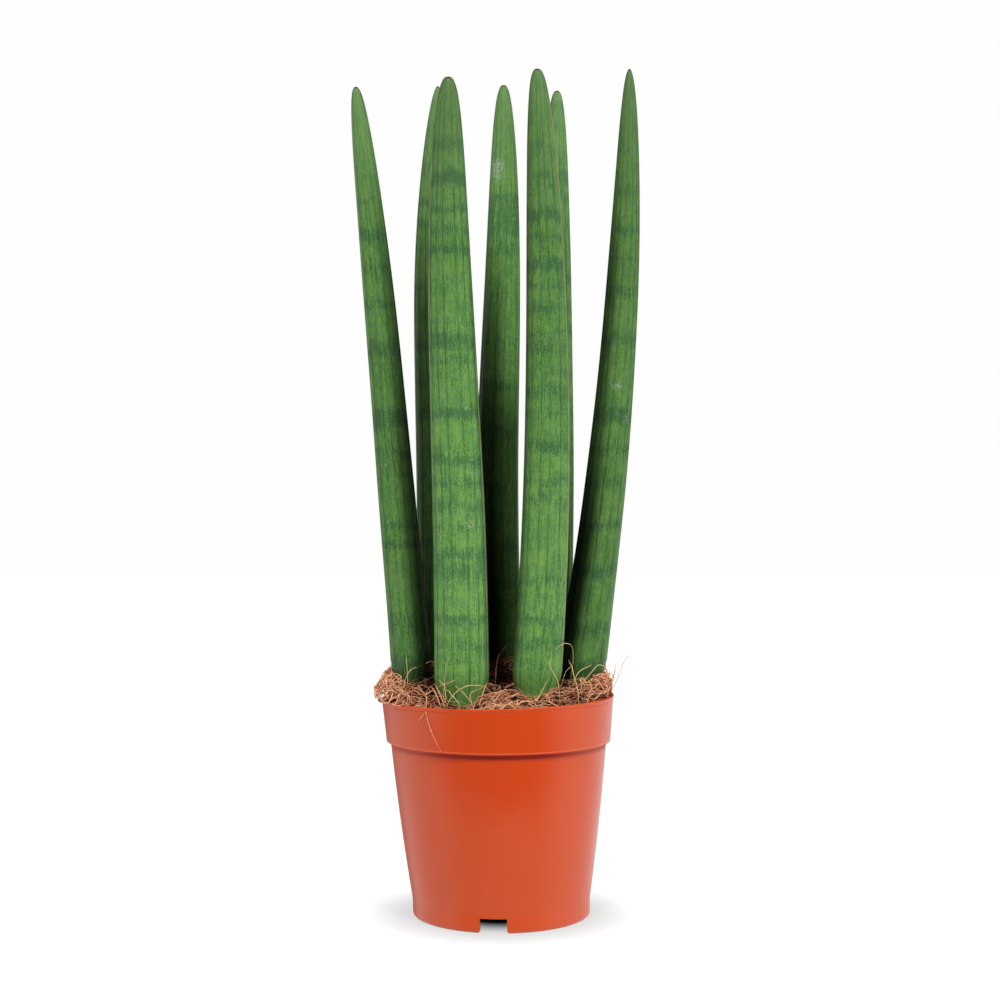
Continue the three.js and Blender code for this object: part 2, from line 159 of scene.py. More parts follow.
# Families of coir strands. Curl and wobble are in radians for each step, and bearings in degrees. The shade
# goes from 0, dark brown, over 1, tan, to 1.36, straw.
UNDER_STRANDS = dict(
    count=1300, steps=9, stride=(1.2, 2.6), reach=(0, 1), curl=0.2, wobble=0.3,
    lift=(-3.4, -1.4), arch=(0, 1.0), ripple=0.3, radius=(0.18, 0.38), shade=(-0.1, 0.55),
)
MAIN_STRANDS = dict(
    count=900, steps=12, stride=(1.1, 2.4), reach=(0, 1), curl=0.16, wobble=0.26,
    lift=(-3.0, -0.8), arch=(0, 3.0), ripple=0.7, radius=(0.18, 0.48), shade=(-0.25, 1.0),
)
LOOSE_STRANDS = [
    dict(  # on top
        count=360, steps=18, stride=(0.9, 1.9), reach=(0.12, 1.0), curl=0.13, wobble=0.22, along_rim=0.35,
        lift=(-1.8, -0.3), arch=(0.2, 3.4), ripple=0.8, radius=(0.18, 0.46), shade=(0.1, 1.1),
    ),
    dict(  # loops over the rim on the left
        count=130, steps=14, stride=(1.0, 1.9), reach=(0.72, 0.95), curl=0.34, wobble=0.2, bearing=(156, 210),
        lift=(-1.5, 2.0), arch=(0, 2.5), ripple=1.6, radius=(0.2, 0.44), shade=(0.2, 1.05), furthest=64.0,
    ),
    dict(  # wisps at the rim on the right
        count=120, steps=12, stride=(0.9, 1.8), reach=(0.72, 0.95), curl=0.3, wobble=0.3, bearing=(-28, 14),
        lift=(-1.5, 0.5), arch=(0.5, 5.5), ripple=1.0, radius=(0.2, 0.38), shade=(0.25, 0.9), furthest=59.6,
    ),
    dict(  # at the back
        count=170, steps=12, stride=(0.8, 1.9), reach=(0.66, 0.84), curl=0.3, wobble=0.4, bearing=(25, 155),
        lift=(-3.0, -0.6), arch=(0, 2.5), ripple=0.6, radius=(0.22, 0.44), shade=(0.1, 0.85), along_rim=0.5,
    ),
    dict(  # hairs
        count=420, steps=12, stride=(0.8, 2.0), reach=(0.05, 1.0), curl=0.3, wobble=0.35,
        lift=(-1.2, 0.2), arch=(0.5, 4.5), ripple=0.8, radius=(0.07, 0.14), shade=(0.5, 1.05),
    ),
]

# Single fibres: radius, which COIR.stray_width thins, and shade, and the knots from end to end.
STRAYS = [
    (0.34, 1.25, (-30.7, -36, 125.2), (-29.5, -37, 123.6), (-27.7, -38.5, 122.3), (-27.4, -40, 119.5),
     (-26.5, -44, 116)),
    (0.3, 1.2, (-31.5, -36, 121.4), (-28.5, -38, 122.5), (-24.9, -38.5, 124), (-22, -38, 125.2)),
    (0.36, 1.25, (-29, -38.5, 120.4), (-25.7, -40, 119.8), (-24.2, -41, 118), (-22.9, -42, 116.7),
     (-21.1, -43.5, 114.7), (-19.6, -46, 112.4)),
    (0.4, 1.3, (-27, -44, 112), (-26, -43, 113.7), (-24.2, -42, 116.7), (-22.1, -41.5, 119),
     (-19.6, -41, 120.8), (-17, -40.5, 122.1), (-14.5, -39.5, 122.5), (-10.7, -38, 122.2), (-7.4, -36, 121.5),
     (-3, -33, 117)),
    (0.36, 1.2, (-22.4, -39.5, 122.1), (-19.6, -40, 120.1), (-17.5, -41, 118), (-15.5, -42, 115.7),
     (-13.5, -44, 113.2)),
    (0.3, 1.2, (-7.4, -37, 121.8), (-12, -39, 120), (-14.5, -40.5, 118.8), (-14.8, -42, 116.7),
     (-14, -43.5, 114), (-13.5, -46, 112)),
    (0.42, 0.85, (-6.4, -35.5, 123.6), (-7.6, -39, 121.1), (-9.2, -44, 117), (-10.4, -50, 113)),
    (0.45, 0.8, (-13.4, -46, 114), (-10.9, -45, 117), (-8.9, -44.5, 117.8), (-5.6, -43, 118.6),
     (-0.5, -41, 119.1), (5, -38, 116)),
    (0.55, 0.85, (-34.5, -36, 121.5), (-32, -44, 119), (-29, -53, 113.5)),
    (0.5, 0.95, (-32.5, -36, 122.5), (-30.3, -44, 119.5), (-27, -53.5, 113.5)),
    (0.5, 0.75, (-31, -38, 120), (-28.8, -45, 118.5), (-25.5, -54, 113.5)),
    (0.18, 1.3, (-25, -36.5, 137), (-26.7, -36.8, 133), (-27.5, -37, 128), (-28, -38, 121), (-28, -42, 114)),
    (0.3, 1.25, (-48.5, -12.5, 136), (-47.8, -13.5, 129.5), (-47.5, -14.5, 123), (-47, -16, 117)),
    (0.36, 1.2, (-50, -17, 119), (-46.5, -13, 127), (-40.5, -9, 129.3), (-34.5, -5, 131), (-28, -3, 122)),
    (0.5, 0.85, (-58, -9, 122), (-56.5, -14, 122), (-53.5, -22, 119), (-48, -30, 117), (-43, -37, 113)),
    (0.45, 0.85, (-46, -30, 117), (-42, -34.5, 120.5), (-38.5, -38, 119), (-36.6, -42.5, 117),
     (-36.5, -47, 113.6), (-36.5, -48.9, 110), (-35, -49.6, 104), (-32.5, -50.7, 98), (-29, -52, 91)),
    (0.28, 1.1, (-36.5, -48.7, 110.5), (-38.5, -47.6, 108), (-40.5, -46, 105.5)),
    (0.3, 1.3, (26, -31.8, 136.7), (25, -32.3, 132), (27, -33, 127.7), (29, -33.5, 124), (29.7, -35, 119),
     (30, -38, 114)),
    (0.32, 1.3, (24.3, -34, 125), (21.7, -36, 120.5), (19.5, -38.5, 117), (17, -42, 113)),
    (0.3, 1.3, (36, -10, 121), (37.5, -14, 132), (36.5, -19, 140.5), (32, -25, 142), (28, -31, 139.5)),
    (0.4, 1.2, (35.5, -4, 135.5), (35.5, -11.5, 132), (36.6, -19, 130), (37.6, -27, 125), (39, -34, 120.5),
     (39, -43, 113.5)),
    (0.32, 1.2, (40.6, -8, 132), (36.5, -11, 129), (33.7, -14, 126.5), (31, -17, 119)),
    (0.36, 1.25, (50.5, -8, 133.3), (46.3, -11.3, 129.5), (41.7, -14.7, 127.7), (39, -18, 125),
     (37, -20, 119)),
    (0.34, 1.3, (57.5, -2, 119), (55, -6.5, 127.5), (50.7, -11.3, 130), (47.3, -16.7, 127.4), (43, -22, 123),
     (40, -26, 117)),
    (0.34, 1, (68, 2, 135), (64.9, 0.5, 131), (63.4, -1, 127.7), (61.6, -2.5, 123.3), (59, -4, 118),
     (55, -6, 114)),
    (0.45, 0.65, (60.2, -2, 129), (59.2, -4, 124.4), (58, -6, 120), (55, -8, 115)),
    (0.4, 1.1, (56.5, 1, 126.5), (58.5, -3, 124), (57.5, -8, 120), (53, -12, 115)),
    (0.36, 0.9, (-0.5, 4, 135), (-1.3, 0, 132), (-2, -4, 128), (-2.5, -7, 117)),
    (0.2, 0.85, (4, 4, 139.5), (1.5, 2, 136.5), (-1.2, 0.2, 132.2)),
    (0.26, 1.1, (-60.6, -8, 107), (-58.4, -17, 109.5), (-55.8, -24.3, 111.5), (-52.5, -29.5, 113.2),
     (-47, -31, 114.5)),
]

# Dark cross bands: (height, thickness, strength). The leaves that aren't listed draw theirs at random.
BANDS = {
    "leaf_front_left": [
        (418, 1.5, 0.5), (400, 2, 0.3), (393, 6, 0.8), (375.5, 6, 1), (360.5, 3, 1), (350, 4, 0.7),
        (339.5, 4, 1), (327, 3, 0.4), (304, 5, 0.5), (294, 8, 1), (285, 4, 0.7), (258, 5, 1), (235, 5, 1),
        (223.5, 4, 0.85), (211.5, 5, 0.8), (202, 4, 0.6), (187, 5, 0.95), (179.5, 7, 0.85), (174, 3, 0.5),
        (154.5, 4, 1), (142.5, 5, 0.7), (135, 3, 0.5),
    ],
    "leaf_front_right": [
        (405, 4, 0.35), (391, 6, 0.55), (377.5, 3, 0.7), (372.5, 2, 0.6), (358.5, 6, 1), (347, 4, 0.7),
        (333, 6, 1), (323, 4, 0.7), (311, 4, 0.9), (299.5, 5, 0.5), (291, 4, 0.75), (279.5, 4, 0.5),
        (269.5, 5, 0.8), (258, 4, 0.6), (242.5, 7, 0.75), (225, 4, 0.65), (215.5, 6, 0.7), (174.5, 4, 0.9),
        (166, 4, 0.6), (154, 4, 0.95), (142.5, 6, 0.8), (135, 4, 0.5),
    ],
    "leaf_left": [
        (370, 3, 0.68), (352, 7, 0.81), (335, 3, 0.68), (316.5, 4, 0.81), (293, 8, 0.81), (257, 9, 1),
        (240, 4, 0.81), (228, 3, 0.68), (202, 4, 0.81), (191, 4, 0.81), (150, 12, 0.68), (128, 14, 0.95),
    ],
    "leaf_right": [
        (400, 5, 0.52), (378, 6, 0.52), (356, 4, 0.78), (341, 3, 0.65), (323, 4, 0.78), (299, 6, 0.91),
        (259, 8, 0.91), (241, 4, 0.78), (224, 4, 0.78), (202, 5, 0.78), (178, 6, 0.91), (149, 6, 0.78),
        (128, 8, 0.78),
    ],
    "leaf_back_middle": [
        (370, 23, 0.75), (351, 6, 0.6), (326, 4, 0.4), (301, 5, 0.5), (276, 6, 0.6), (252, 6, 0.6),
        (221, 8, 0.6), (190, 8, 0.6), (160, 6, 0.5),
    ],
}
BAND_DRAW = Values(gap=(9, 22), thickness=(2.5, 8), strength=(0.4, 0.95))

# Pale rubbed spots on the side that faces the front: (x, height, half width, half height, strength).
SCUFFS = {
    "leaf_front_left": [
        (-16.2, 260, 2.6, 1.1, 0.9), (-14.1, 234.7, 1.3, 2, 0.8), (-15.2, 202.4, 4.4, 2, 0.8),
    ],
    "leaf_front_right": [(19.7, 205.4, 0.9, 1.4, 1), (30.9, 172.5, 0.9, 1.2, 0.9)],
    "leaf_left": [(-57.9, 204.6, 1, 1.6, 0.8), (-58.9, 232.7, 0.9, 1.5, 0.7)],
    "leaf_right": [
        (60.5, 407, 1, 2.5, 0.8), (64.2, 365, 1.2, 2, 0.7), (60.9, 274.5, 3.4, 2, 1),
        (65.6, 257.5, 1.5, 2.6, 0.9),
    ],
    "leaf_back_middle": [(-1.6, 396, 4.4, 7.5, 1)],
}

# ---- small helpers


def smoothstep(value, low, high):
    share = np.clip((value - low) / (high - low), 0, 1)
    return share * share * (3 - 2 * share)


def lerp(low, high, share):
    return low + (high - low) * share


def unit(vectors):
    return vectors / np.maximum(np.linalg.norm(vectors, axis=-1, keepdims=True), 1e-9)


def circle(steps):
    """Evenly spaced angles all the way round, in radians."""
    return np.linspace(0, 2 * np.pi, steps, endpoint=False)


def askew(points):
    """Points of the pot, the soil and the coir, shifted along X as the soft pot stands."""
    points = np.array(points, float)
    points[..., 0] += lerp(*POT.askew, points[..., 2] / POT.height)
    return points


def add_mesh(name, points, faces, material, attributes=None):
    """A smooth mesh object from points in millimetres. Attributes have a value or a vector per point."""
    mesh = bpy.data.meshes.new(name)
    mesh.from_pydata((np.asarray(points, float) * MM).tolist(), [], faces)
    mesh.validate()
    for label, values in (attributes or {}).items():
        values = np.asarray(values, np.float32)
        kind, key = ("FLOAT", "value") if values.ndim == 1 else ("FLOAT_VECTOR", "vector")
        mesh.attributes.new(label, kind, "POINT").data.foreach_set(key, values.ravel())
    mesh.shade_smooth()
    mesh.materials.append(material)
    piece = bpy.data.objects.new(name, mesh)
    bpy.context.scene.collection.objects.link(piece)
    return piece


def keep(piece, slot, *nodes):
    """Sets a piece on the plant's one body and hides the CAD nodes that it stands for. The slot is not used.
    """
    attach(piece, "root")
    if nodes:
        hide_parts(*nodes)


def closed_faces(rings, sides):
    """Quads between rings of points, and a fan at each end round one of the last two points."""
    faces = []
    for ring in range(rings - 1):
        low, high = ring * sides, (ring + 1) * sides
        for side in range(sides):
            following = (side + 1) % sides
            faces.append((low + side, low + following, high + following, high + side))
    bottom, top, last = rings * sides, rings * sides + 1, (rings - 1) * sides
    for side in range(sides):
        following = (side + 1) % sides
        faces.append((bottom, following, side))
        faces.append((top, last + side, last + following))
    return faces


def turned_over(faces):
    return [tuple(reversed(face)) for face in faces]


def level_ring(radius, height, sides):
    """Points evenly spaced round Z."""
    turn = circle(sides)
    return np.stack([radius * np.cos(turn), radius * np.sin(turn), np.full(sides, float(height))], axis=-1)


def merged(parts):
    """One list of points and one of faces, out of several (points, faces)."""
    faces = []
    first = 0
    for points, some_faces in parts:
        faces += [tuple(first + corner for corner in face) for face in some_faces]
        first += len(points)
    return np.concatenate([points for points, _ in parts]), faces


# ---- shader helpers


class Shader:
    """Builds one material, or the world, out of nodes. Most methods add nodes and give back an output."""

    def __init__(self, name, kind="materials", surface="Principled BSDF"):
        self.owner = getattr(bpy.data, kind).new(name)
        self.owner.use_nodes = True
        self.tree = self.owner.node_tree
        self.surface = self.tree.nodes[surface]

    def add(self, kind, inputs=(), output=0, **settings):
        node = self.tree.nodes.new(kind)
        for setting, value in settings.items():
            setattr(node, setting, value)
        for socket, value in dict(inputs).items():
            self.feed(node.inputs[socket], value)
        return node.outputs[output]

    def feed(self, socket, value):
        if isinstance(value, bpy.types.NodeSocket):
            self.tree.links.new(value, socket)
        else:
            socket.default_value = value

    def finish(self, **sockets):
        for name, value in sockets.items():
            self.feed(self.surface.inputs[name.replace("_", " ")], as_colour(value))
        return self.owner

    def place(self):
        """The point in the object's own space, in metres."""
        return self.add("ShaderNodeTexCoord", output="Object")

    def attribute(self, name, output="Fac"):
        return self.add("ShaderNodeAttribute", output=output, attribute_name=name)

    def math(self, operation, *values):
        return self.add("ShaderNodeMath", enumerate(values), operation=operation)

    def plus(self, first, second):
        return self.math("ADD", first, second)

    def times(self, first, second):
        return self.math("MULTIPLY", first, second)

    def largest(self, first, *others):
        for other in others:
            first = self.math("MAXIMUM", first, other)
        return first

    def weighted(self, *terms):
        """The sum of (value, weight) terms."""
        total = 0.0
        for value, weight in terms:
            total = self.math("MULTIPLY_ADD", value, weight, total)
        return total

    def varied(self, value, noise, amount):
        """The value, raised or lowered by up to half the amount."""
        return self.math("MULTIPLY_ADD", self.math("SUBTRACT", noise, 0.5), amount, value)

    def vector_math(self, operation, *vectors):
        return self.add("ShaderNodeVectorMath", enumerate(vectors), output="Value", operation=operation)

    def parts(self, vector):
        return self.add("ShaderNodeSeparateXYZ", {0: vector}).node.outputs

    def stretched(self, vector, x, y, z):
        return self.add("ShaderNodeVectorMath", {0: vector, 1: (x, y, z)}, operation="MULTIPLY")

    def noise(self, vector, scale=1.0, detail=2.0, roughness=0.5):
        inputs = {"Vector": vector, "Scale": scale, "Detail": detail, "Roughness": roughness}
        return self.add("ShaderNodeTexNoise", inputs)

    def ranged(self, value, low, high, to_low=0.0, to_high=1.0):
        inputs = {"Value": value, "From Min": low, "From Max": high, "To Min": to_low, "To Max": to_high}
        return self.add("ShaderNodeMapRange", inputs, interpolation_type="SMOOTHSTEP")

    def between(self, share, first, second):
        return self.add("ShaderNodeMix", {0: share, 2: first, 3: second})

    def mix(self, share, first, second):
        """A colour between two others."""
        inputs = {"Factor": share, 6: as_colour(first), 7: as_colour(second)}
        return self.add("ShaderNodeMix", inputs, output=2, data_type="RGBA")

    def ramp(self, value, stops):
        output = self.add("ShaderNodeValToRGB", {0: value})
        elements = output.node.color_ramp.elements
        for index, (position, colour) in enumerate(stops):
            element = elements[index] if index < 2 else elements.new(position)
            element.position = position
            element.color = as_colour(colour)
        return output

    def bump(self, height, distance):
        """Relief as high as distance, in millimetres, where the height goes from 0 to 1."""
        return self.add("ShaderNodeBump", {"Height": height, "Distance": distance * MM, "Strength": 1.0})


def as_colour(value):
    return (*value, 1.0) if isinstance(value, tuple) and len(value) == 3 else value


# ---- materials

FRESH_GREEN = (0.132, 0.266, 0.06)
DEEP_GREEN = (0.05, 0.15, 0.03)
COOL_GREEN = (0.066, 0.178, 0.066)
BAND_GREEN = (0.042, 0.116, 0.042)
FURROW_GREEN = (0.018, 0.07, 0.022)
BLOOM_GREEN = (0.16, 0.27, 0.11)
RUBBED_GREEN = (0.33, 0.39, 0.29)
EDGE_REFLECTION_BEIGE = (0.36, 0.32, 0.2)
DRY_TIP = (0.07, 0.05, 0.022)
POT_ORANGE = (0.6, 0.056, 0.006)
POT_DEEPER = (0.56, 0.048, 0.004)
POT_SCUFF = (0.6, 0.105, 0.04)
POT_FLOOR_REFLECTION = (0.6, 0.08, 0.02)
POT_CREASE_SHADE = (0.32, 0.006, 0.001)
POT_EDGE_HIGHLIGHT = (0.85, 0.17, 0.06)
PEAT_STOPS = [(0.35, (0.008, 0.004, 0.003)), (0.75, (0.045, 0.021, 0.012)), (1.0, (0.11, 0.055, 0.03))]
PERLITE_STOPS = [(0.3, (0.35, 0.27, 0.2)), (0.6, (0.72, 0.66, 0.58))]
# From dark brown over tan to straw, along the attribute shade times COIR_SHARE.
COIR_SHARE = 0.7
COIR_STOPS = [
    (0.0, (0.045, 0.011, 0.005)),
    (0.245, (0.19, 0.052, 0.023)),
    (0.455, (0.43, 0.15, 0.07)),
    (0.7, (0.78, 0.4, 0.22)),
    (0.95, (0.62, 0.46, 0.19)),
]

# The patch on the pot's front without the painted floor reflection, in millimetres: its centre, where the
# painted reflection starts and where it is full.
REFLECTION_FREE_PATCH = Values(centre=(0, -58, 92), inner=20, outer=46, raggedness=24)


def leaf_material():
    """Waxy leaf skin. The attribute place has x and y round the leaf and z up it, in millimetres."""
    s = Shader("leaf_skin")
    place = s.attribute("place", "Vector")

    def grain(across, along, detail=3, roughness=0.6):
        return s.noise(s.stretched(place, across, across, along), detail=detail, roughness=roughness)

    streak = grain(1.1, 0.1)
    fibre = grain(2.2, 0.16, detail=2)
    mottle = grain(1.2, 0.8, roughness=0.65)
    speckle = grain(2.8, 2.2, detail=2)
    blotch = grain(0.16, 0.1, detail=2)
    cloud = grain(0.22, 0.3, roughness=0.7)
    broken = grain(0.5, 0.045, detail=2)
    phase = s.parts(s.attribute("furrow", "Vector"))
    turn = s.math("ABSOLUTE", s.math("ARCTAN2", phase[1], phase[0]))

    # Fresh and deep green in fine streaks, mottling and soft blotches, with painted light along the middle
    # of each rib and painted shade beside the furrows.
    tone = s.weighted((streak, 0.8), (mottle, 1.15), (fibre, 0.6), (blotch, 0.7))
    tone = s.plus(tone, s.ranged(turn, 0.2, 1.5, -0.06, 0.06))
    colour = s.mix(s.ranged(tone, 1.29, 1.88), DEEP_GREEN, FRESH_GREEN)
    colour = s.mix(s.ranged(cloud, 0.42, 0.66, 0.0, 0.6), colour, COOL_GREEN)

    # Dark cross bands whose edges run out in fingers along the streaks.
    fingers = s.weighted((streak, 1.8), (fibre, 1.4), (mottle, 1.2))
    edge = s.plus(s.attribute("band"), s.math("SUBTRACT", 2.2, fingers))
    band = s.times(s.ranged(edge, 0.2, 0.95), s.ranged(mottle, 0.35, 0.65, 1.0, 0.7))
    colour = s.mix(band, colour, BAND_GREEN)

    # Furrows as thin broken dark lines, with weaker ones between them.
    line = s.times(s.ranged(turn, 0.07, 0.34, 1.0, 0.0), s.ranged(broken, 0.38, 0.62, 0.2, 0.85))
    halfway = s.math("ABSOLUTE", s.math("SUBTRACT", turn, 1.75))
    weak = s.times(s.ranged(halfway, 0.04, 0.2, 0.5, 0.0), s.ranged(broken, 0.5, 0.66))
    line = s.largest(line, weak, s.ranged(fibre, 0.62, 0.74, 0.0, 0.4))
    colour = s.mix(line, colour, FURROW_GREEN)

    # Pale specks and rubbed spots, the bluish bloom towards the tip, the tone with its painted light and
    # shade, the painted edge reflections, and the dry tip itself.
    worn = s.times(s.attribute("scuff"), s.ranged(mottle, 0.4, 0.6, 0.35, 1.2))
    rubbed = s.ranged(s.varied(worn, speckle, 1.6), 0.3, 1.0, 0.0, 0.85)
    rubbed = s.largest(rubbed, s.ranged(speckle, 0.62, 0.8, 0.0, 0.4))
    colour = s.mix(rubbed, colour, RUBBED_GREEN)
    colour = s.mix(s.times(s.attribute("bloom"), 0.3), colour, BLOOM_GREEN)
    colour = s.add("ShaderNodeVectorMath", {0: colour, "Scale": s.attribute("tone")}, operation="SCALE")
    edge_reflection = s.times(s.attribute("edge_reflection"), s.ranged(mottle, 0.3, 0.55, 0.375, 0.75))
    colour = s.mix(edge_reflection, colour, EDGE_REFLECTION_BEIGE)
    dry = s.ranged(s.math("MULTIPLY_ADD", mottle, 0.4, s.attribute("dryness")), 0.5, 1.1)
    return s.finish(
        Base_Color=s.mix(dry, colour, DRY_TIP),
        Roughness=s.math("MULTIPLY_ADD", rubbed, 0.3, s.ranged(blotch, 0.3, 0.7, 0.34, 0.44)),
        Specular_IOR_Level=0.09,
        Normal=s.bump(s.weighted((fibre, 0.5), (streak, 0.4), (line, -0.5), (speckle, 0.3)), 0.16),
    )


def pot_material():
    """Injection-moulded plastic: satin, slightly uneven, with faint rubbed patches and fine scratches."""
    s = Shader("pot_plastic_satin")
    place = s.place()
    cloud = s.noise(place, 28, detail=4, roughness=0.55)
    grain = s.noise(place, 900, detail=3, roughness=0.6)
    upright = s.noise(s.stretched(place, 700, 700, 30), detail=3, roughness=0.7)
    slant = {"Vector": place, "Rotation": (0.5, 0.4, 0.3), "Scale": (60, 60, 900)}
    slanted = s.add("ShaderNodeMapping", slant)
    scratch = s.ranged(s.noise(slanted, detail=2), 0.7, 0.76)
    rubbed = s.times(s.ranged(cloud, 0.52, 0.72), s.ranged(upright, 0.45, 0.75))
    colour = s.mix(s.ranged(cloud, 0.3, 0.7, 0.0, 0.6), POT_ORANGE, POT_DEEPER)
    colour = s.mix(s.times(s.largest(rubbed, scratch), 0.35), colour, POT_SCUFF)

    # A painted reflection of the floor, a pale haze that leaves a patch in front without it.
    millimetres = s.stretched(place, 1 / MM, 1 / MM, 1 / MM)
    away = s.varied(s.vector_math("DISTANCE", millimetres, REFLECTION_FREE_PATCH.centre), cloud, REFLECTION_FREE_PATCH.raggedness)
    floor_reflection = s.ranged(away, REFLECTION_FREE_PATCH.inner, REFLECTION_FREE_PATCH.outer, 0.0, 0.9)
    colour = s.mix(s.times(floor_reflection, s.ranged(cloud, 0.2, 0.8, 0.75, 1.0)), colour, POT_FLOOR_REFLECTION)

    # Painted shade in the crease under the band, less under the painted reflection, and a painted highlight
    # along the band's edge.
    height = s.parts(millimetres)[2]
    above = s.ranged(height, BAND_FOOT + 0.4, BAND_FOOT - 0.4)
    crease_shade = s.times(above, s.ranged(height, LEDGE_FOOT - 1.4, LEDGE_FOOT + 3))
    crease_shade = s.times(crease_shade, s.math("MULTIPLY_ADD", floor_reflection, -0.55, 1.0))
    colour = s.mix(s.times(crease_shade, 0.9), colour, POT_CREASE_SHADE)
    # Painted highlight along the lower edge of the band.
    from_edge = s.math("ABSOLUTE", s.math("SUBTRACT", height, BAND_FOOT + 0.35))
    roughness = s.math("MULTIPLY_ADD", rubbed, 0.2, s.ranged(cloud, 0.3, 0.7, 0.3, 0.38))
    return s.finish(
        Base_Color=s.mix(s.ranged(from_edge, 0.2, 0.6, 0.4, 0.0), colour, POT_EDGE_HIGHLIGHT),
        Roughness=s.math("MULTIPLY_ADD", crease_shade, 0.5, roughness),
        Specular_IOR_Level=0.3,
        Normal=s.bump(s.weighted((cloud, 0.6), (grain, 0.12), (scratch, -0.15)), 0.12),
    )


def soil_material():
    s = Shader("peat_soil")
    place = s.place()
    lump = s.noise(place, 260, detail=5, roughness=0.65)
    crumb = s.noise(place, 1400, detail=3, roughness=0.7)
    shade = s.weighted((lump, 0.7), (crumb, 0.5))
    return s.finish(
        Base_Color=s.ramp(s.plus(shade, s.attribute("shade")), PEAT_STOPS),
        Roughness=0.9,
        Specular_IOR_Level=0.2,
        Normal=s.bump(shade, 0.6),
    )


def perlite_material():
    s = Shader("perlite")
    pit = s.noise(s.place(), 900, detail=4, roughness=0.7)
    return s.finish(Base_Color=s.ramp(pit, PERLITE_STOPS), Roughness=0.85, Normal=s.bump(pit, 0.3))


def coir_material():
    """Coconut fibre. The attribute shade is dark brown at 0, tan at 1 and straw at 1.36."""
    s = Shader("coir_fibre")
    place = s.place()
    patch = s.noise(place, 420, detail=3, roughness=0.6)
    fine = s.noise(place, 2400, detail=2)
    shade = s.varied(s.attribute("shade"), patch, 0.7)
    return s.finish(
        Base_Color=s.ramp(s.times(shade, COIR_SHARE), COIR_STOPS),
        Roughness=s.ranged(fine, 0.3, 0.7, 0.55, 0.75),
        Specular_IOR_Level=0.3,
        Normal=s.bump(fine, 0.08),
    )


LEAF_SKIN = leaf_material()
POT_PLASTIC = pot_material()
PEAT = soil_material()
PERLITE = perlite_material()
FIBRE = coir_material()


# ---- the leaves


def towards(degrees):
    """The level direction at a bearing from +X."""
    turn = math.radians(degrees)
    return np.array([math.cos(turn), math.sin(turn), 0])


# Each leaf's rise and length, and the two level axes of its section.
for leaf in LEAVES.values():
    leaf.rise = np.array(leaf.tip, float) - np.array(leaf.foot, float)
    leaf.length = np.linalg.norm(leaf.rise)
    leaf.broad_axis = towards(leaf.heading)
    leaf.narrow_axis = np.array([-leaf.broad_axis[1], leaf.broad_axis[0], 0])
    if leaf.narrow_axis @ leaf.foot > 0:  # it points at the pot's axis
        leaf.narrow_axis = -leaf.narrow_axis


def leaf_centres(leaf, share):
    """The centre line at each share of the height: 0 at the soil, 1 at the tip, straight below 0."""
    bowed = np.where(share > 0, 4 * share * (1 - share), 4 * share)
    swayed = np.where(share > 0, np.sin(2 * np.pi * share), 2 * np.pi * share)
    centres = leaf.foot + leaf.rise * share[..., None] + np.array([*leaf.bow, 0]) * bowed[..., None]
    centres[..., 0] += leaf.sway * swayed
    return centres


def leaf_widths(leaf, share):
    blade = np.where(share > 0, (1 - np.clip(share, 0, 1) ** 2) ** leaf.taper, 1)
    flare = 1 + leaf.flare * np.exp(-np.maximum(share, 0) / LEAF.flare_fade)
    necking = smoothstep(share * leaf.length, -LEAF.neck_top / 2, LEAF.neck_top)
    return blade * flare * lerp(LEAF.neck, 1, necking)


def leaf_offsets(leaf, points):
    """Each point's centre line point, its offset from there, how far out it lies, and the width there."""
    share = (points[:, 2] - leaf.foot[2]) / leaf.rise[2]
    centres = leaf_centres(leaf, share)
    widths = leaf_widths(leaf, share)
    offset = points - centres
    along = offset @ leaf.broad_axis / (leaf.broad / 2 * widths)
    across = offset @ leaf.narrow_axis / (leaf.narrow / 2 * widths)
    return centres, offset, np.hypot(along, across), widths


def leaf_stations(length):
    """Shares of the height for the rings of points, closer together towards the tip."""
    below = np.array([-LEAF.buried, -12, -6, -3, 0]) / length
    rise = np.linspace(0, 1, LEAF.rings + 1)[1:]
    return np.concatenate([below, (1 - LEAF.blunt) * (1 - (1 - rise) ** LEAF.crowding)])


def facing(leaf, angle, bearing):
    """How squarely the skin faces a bearing, from -1 to 1, at each angle round the leaf."""
    outward = (np.cos(angle) / leaf.broad)[..., None] * leaf.broad_axis
    outward = unit(outward + (np.sin(angle) / leaf.narrow)[..., None] * leaf.narrow_axis)
    return outward @ towards(bearing)


def painted_leaf_shade(leaf, angle, heights):
    """What is left of the light where painted shade darkens the sides of a leaf that face the others, from 0
    to 1.
    """
    left = 1
    for bearing, low, high, factor, top, fade in leaf.shades:
        dark = smoothstep(facing(leaf, angle, bearing), low, high) * smoothstep(top - heights, 0, fade)
        left = left * lerp(1, factor, dark)
    return left


def painted_edge_reflections(leaf, angle, heights, radii):
    """Painted reflections, thin pale lines along a leaf, from 0 to 1."""
    lines = 0
    for bearing, bottom, top in leaf.margins:
        away = np.arccos(np.clip(facing(leaf, angle, bearing), -1, 1)) * radii
        from_end = np.minimum(heights - bottom, top - heights)
        inside = smoothstep(from_end, 0, LEAF.margin_fade)
        lines = np.maximum(lines, np.clip(1 - away / LEAF.margin_width, 0, 1) * inside)
    return lines


def drawn_bands(leaf, random):
    height = leaf.foot[2]
    bands = []
    while height < leaf.tip[2]:
        height += random.uniform(*BAND_DRAW.gap)
        bands.append((height, random.uniform(*BAND_DRAW.thickness), random.uniform(*BAND_DRAW.strength)))
    return bands


def band_strengths(bands, heights, ribs, random):
    """How dark the cross bands are, from 0 to 1. Each rib has its own shift and strength of every band."""
    dark = 0
    for centre, thickness, strength in bands:
        shift = random.normal(0, LEAF.band_shift, LEAF.furrows)[ribs]
        share = random.uniform(*LEAF.band_share, LEAF.furrows)[ribs]
        away = np.abs(heights - centre - shift) - thickness / 2
        dark = np.maximum(dark, strength * share * (1 - smoothstep(away, *LEAF.band_edge)))
    return dark


